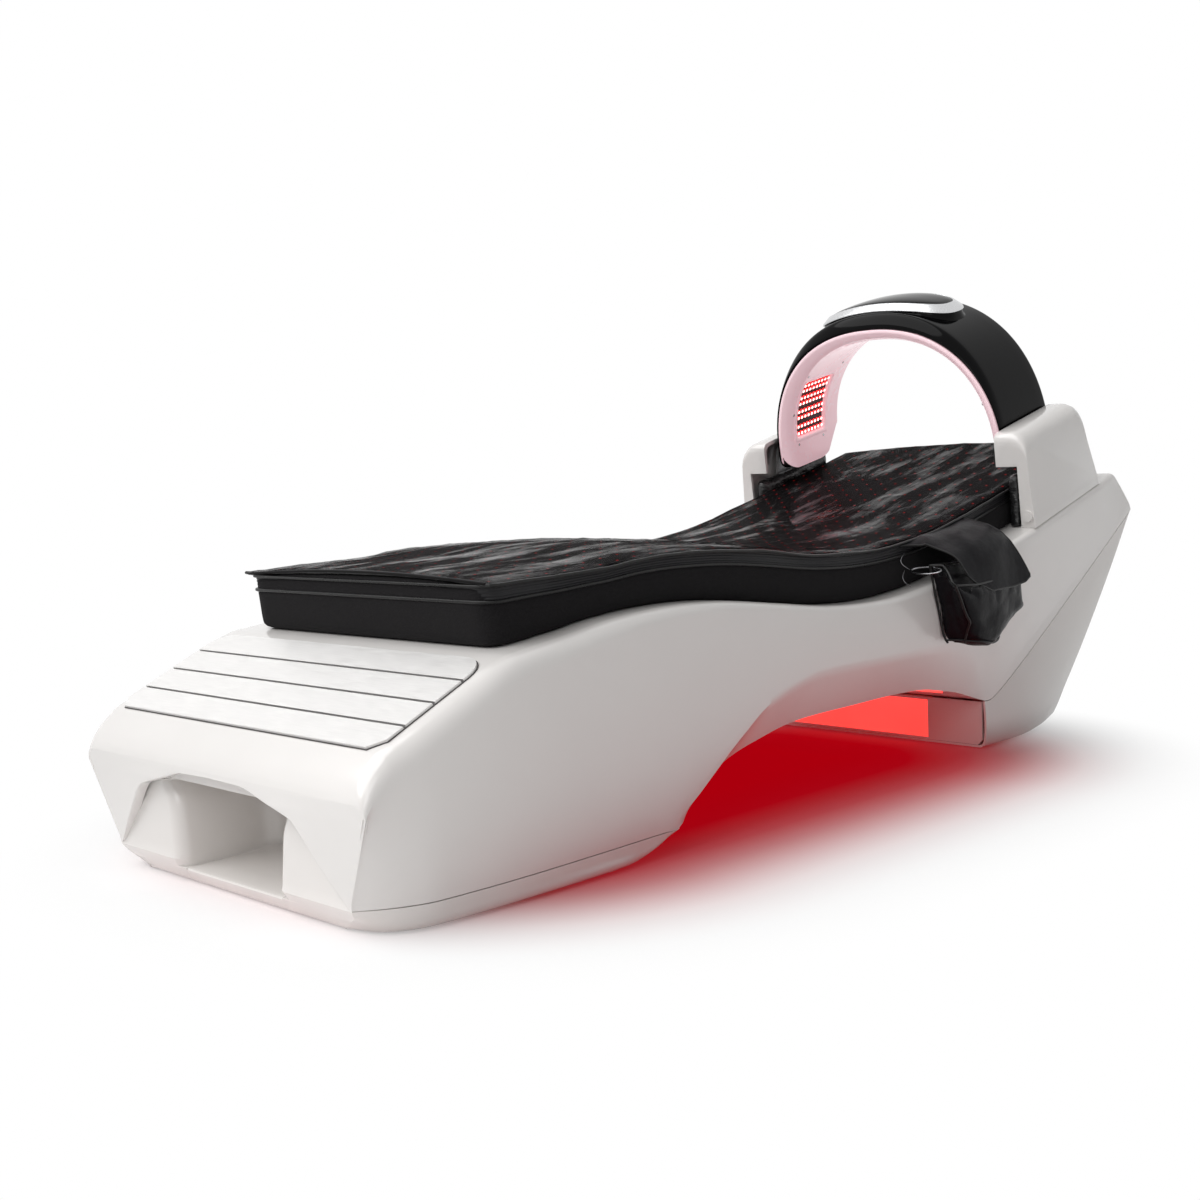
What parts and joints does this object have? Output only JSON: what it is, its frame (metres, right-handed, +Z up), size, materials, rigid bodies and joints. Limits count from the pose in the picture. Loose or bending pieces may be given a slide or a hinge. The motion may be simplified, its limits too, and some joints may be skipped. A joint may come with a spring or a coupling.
{
  "type": "red light therapy bed",
  "caption": "Wave-shaped white bed on two blocks, with a padded black light mat, side housings and a tilting arch of red lamps over the head end.",
  "frame": {"origin": "on the floor, at the middle of the bed's length and width", "axes": "+Z up, +Y from the foot end to the head end, +X across the bed towards the side with the pouch"},
  "size_m": [0.888, 2.3297, 1.0579],
  "materials": {
    "shell_white": "gloss white gelcoat",
    "step_silver": "brushed satin plates",
    "backing_grey": "matte dark sheet",
    "glow_red": "lit red diffuser",
    "frame_steel": "powder coated tube",
    "rib_ply": "raw plywood",
    "feet_rubber": "matte rubber",
    "box_metal": "plain metal case",
    "inlet_black": "matte black moulding",
    "mattress_fabric": "black stretch knit",
    "mat_black": "black coated cloth with small red lights",
    "cover_clear": "clear glossy film",
    "pad_leather": "soft black leather",
    "pivot_steel": "brushed steel",
    "washer_black": "friction plastic",
    "arch_black": "piano black gloss",
    "liner_white": "satin white moulding",
    "band_silver": "silver paint",
    "board_black": "black circuit board",
    "lamp_red": "lit red lens",
    "pouch_satin": "black satin cloth",
    "ring_wire": "bright wire"
  },
  "bodies": {
    "bed": {"upper_shell": "shell_white", "foot_pan": "shell_white", "front_panel": "shell_white", "recess_liner": "shell_white", "belly_panel": "shell_white", "head_pan": "shell_white", "head_front": "shell_white", "housing_left": "shell_white", "housing_right": "shell_white", "housing_caps": "shell_white", "step_plate_1": "step_silver", "step_plate_2": "step_silver", "step_plate_3": "step_silver", "step_plate_4": "step_silver", "step_backing": "backing_grey", "glow_panel": "glow_red", "glow_strip_left": "glow_red", "glow_strip_right": "glow_red", "rail_left": "frame_steel", "rail_right": "frame_steel", "foot_frame": "frame_steel", "head_frame": "frame_steel", "deck_rib_1": "rib_ply", "deck_rib_2": "rib_ply", "deck_rib_3": "rib_ply", "deck_rib_4": "rib_ply", "rubber_feet": "feet_rubber", "power_supply": "box_metal", "control_box": "box_metal", "power_inlet": "inlet_black", "mattress": "mattress_fabric", "light_mat": "mat_black", "clear_cover": "cover_clear", "side_pad_left": "pad_leather", "side_pad_right": "pad_leather", "pivot_plate_left": "pivot_steel", "pivot_plate_right": "pivot_steel", "friction_washers": "washer_black", "pouch_bag": "pouch_satin", "pouch_flap": "pouch_satin", "pouch_ring": "ring_wire"},
    "arch": {"arch_shell": "arch_black", "arch_liner": "liner_white", "arch_brackets": "frame_steel", "arch_pod": "arch_black", "pod_band": "band_silver", "pivot_pins": "pivot_steel", "lamp_board_left": "board_black", "lamp_board_right": "board_black", "lamp_board_top": "board_black", "lamps_left": "lamp_red", "lamps_right": "lamp_red", "lamps_top": "lamp_red", "liner_screws": "pivot_steel"}
  },
  "joints": [
    {"name": "arch_tilt", "type": "hinge", "parent": "bed", "child": "arch", "pos_m": [0, 0.824, 0.686], "axis": [-1, 0, 0], "range_deg": [0, 30]}
  ]
}
